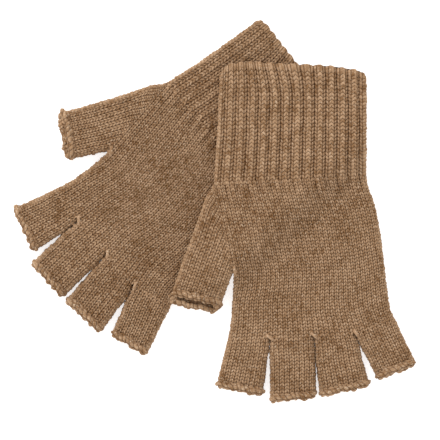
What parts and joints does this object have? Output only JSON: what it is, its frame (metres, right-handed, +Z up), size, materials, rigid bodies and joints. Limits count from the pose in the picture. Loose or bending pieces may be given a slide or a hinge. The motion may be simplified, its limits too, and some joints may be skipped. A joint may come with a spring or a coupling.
{
  "type": "fingerless gloves",
  "caption": "Pair of knitted half-finger gloves with ribbed cuffs and rolled finger edges, lying flat, one across the other.",
  "frame": {"origin": "centre of the pair's footprint, on the surface that it lies on", "axes": "+Z up from the table; +X across the pair, towards the left glove's little finger; +Y towards the cuffs; the left glove's fingers point to -Y"},
  "size_m": [0.2434, 0.2295, 0.0192],
  "materials": {
    "stockinette_knit": "matte wool, camel and brown melange",
    "rib_knit": "matte wool, camel and brown melange",
    "rolled_edge_knit": "matte wool, camel and brown melange",
    "tie_yarn": "matte wool, light camel"
  },
  "bodies": {
    "right_glove": {"right_hand": "stockinette_knit", "right_cuff": "rib_knit", "right_index_middle_tie": "tie_yarn", "right_middle_ring_tie": "tie_yarn", "right_ring_little_tie": "tie_yarn", "right_thumb_tie": "tie_yarn"},
    "right_thumb": {"right_thumb": "stockinette_knit", "right_thumb_rolled_edge": "rolled_edge_knit"},
    "right_index_finger": {"right_index_finger": "stockinette_knit", "right_index_finger_rolled_edge": "rolled_edge_knit"},
    "right_middle_finger": {"right_middle_finger": "stockinette_knit", "right_middle_finger_rolled_edge": "rolled_edge_knit"},
    "right_ring_finger": {"right_ring_finger": "stockinette_knit", "right_ring_finger_rolled_edge": "rolled_edge_knit"},
    "right_little_finger": {"right_little_finger": "stockinette_knit", "right_little_finger_rolled_edge": "rolled_edge_knit"},
    "left_glove": {"left_hand": "stockinette_knit", "left_index_middle_tie": "tie_yarn", "left_middle_ring_tie": "tie_yarn", "left_ring_little_tie": "tie_yarn", "left_thumb_tie": "tie_yarn"},
    "left_cuff": {"left_cuff": "rib_knit"},
    "left_thumb": {"left_thumb": "stockinette_knit", "left_thumb_rolled_edge": "rolled_edge_knit"},
    "left_index_finger": {"left_index_finger": "stockinette_knit", "left_index_finger_rolled_edge": "rolled_edge_knit"},
    "left_middle_finger": {"left_middle_finger": "stockinette_knit", "left_middle_finger_rolled_edge": "rolled_edge_knit"},
    "left_ring_finger": {"left_ring_finger": "stockinette_knit", "left_ring_finger_rolled_edge": "rolled_edge_knit"},
    "left_little_finger": {"left_little_finger": "stockinette_knit", "left_little_finger_rolled_edge": "rolled_edge_knit"}
  },
  "joints": [
    {"name": "left_glove_lift", "type": "slide", "parent": "right_glove", "child": "left_glove", "axis": [0, 0, 1], "range_m": [0, 0.12]},
    {"name": "right_thumb_fold", "type": "hinge", "parent": "right_glove", "child": "right_thumb", "pos_m": [-0.06867, 0.04981, 0.009], "axis": [-0.3069, 0.9517, 0], "range_deg": [0, 60]},
    {"name": "right_index_finger_fold", "type": "hinge", "parent": "right_glove", "child": "right_index_finger", "pos_m": [-0.0904, 0.0023, 0.009], "axis": [-0.6455, 0.7638, 0], "range_deg": [0, 75]},
    {"name": "right_middle_finger_fold", "type": "hinge", "parent": "right_glove", "child": "right_middle_finger", "pos_m": [-0.07397, -0.01714, 0.009], "axis": [-0.6455, 0.7638, 0], "range_deg": [0, 75]},
    {"name": "right_ring_finger_fold", "type": "hinge", "parent": "right_glove", "child": "right_ring_finger", "pos_m": [-0.05726, -0.03692, 0.009], "axis": [-0.6455, 0.7638, 0], "range_deg": [0, 75]},
    {"name": "right_little_finger_fold", "type": "hinge", "parent": "right_glove", "child": "right_little_finger", "pos_m": [-0.03803, -0.05269, 0.009], "axis": [-0.8759, 0.4824, 0], "range_deg": [0, 55]},
    {"name": "left_cuff_fold", "type": "hinge", "parent": "left_glove", "child": "left_cuff", "pos_m": [0.04509, 0.01818, 0.0186], "axis": [0.999, 0.0454, 0], "range_deg": [0, 80]},
    {"name": "left_thumb_fold", "type": "hinge", "parent": "left_glove", "child": "left_thumb", "pos_m": [-0.00343, -0.03211, 0.0186], "axis": [-0.9413, 0.3376, 0], "range_deg": [0, 60]},
    {"name": "left_index_finger_fold", "type": "hinge", "parent": "left_glove", "child": "left_index_finger", "pos_m": [0.02094, -0.07832, 0.009], "axis": [-0.999, -0.0454, 0], "range_deg": [0, 75]},
    {"name": "left_middle_finger_fold", "type": "hinge", "parent": "left_glove", "child": "left_middle_finger", "pos_m": [0.04637, -0.07716, 0.009], "axis": [-0.999, -0.0454, 0], "range_deg": [0, 75]},
    {"name": "left_ring_finger_fold", "type": "hinge", "parent": "left_glove", "child": "left_ring_finger", "pos_m": [0.07224, -0.07599, 0.009], "axis": [-0.999, -0.0454, 0], "range_deg": [0, 75]},
    {"name": "left_little_finger_fold", "type": "hinge", "parent": "left_glove", "child": "left_little_finger", "pos_m": [0.09647, -0.07037, 0.009], "axis": [-0.9167, -0.3996, 0], "range_deg": [0, 55]}
  ]
}
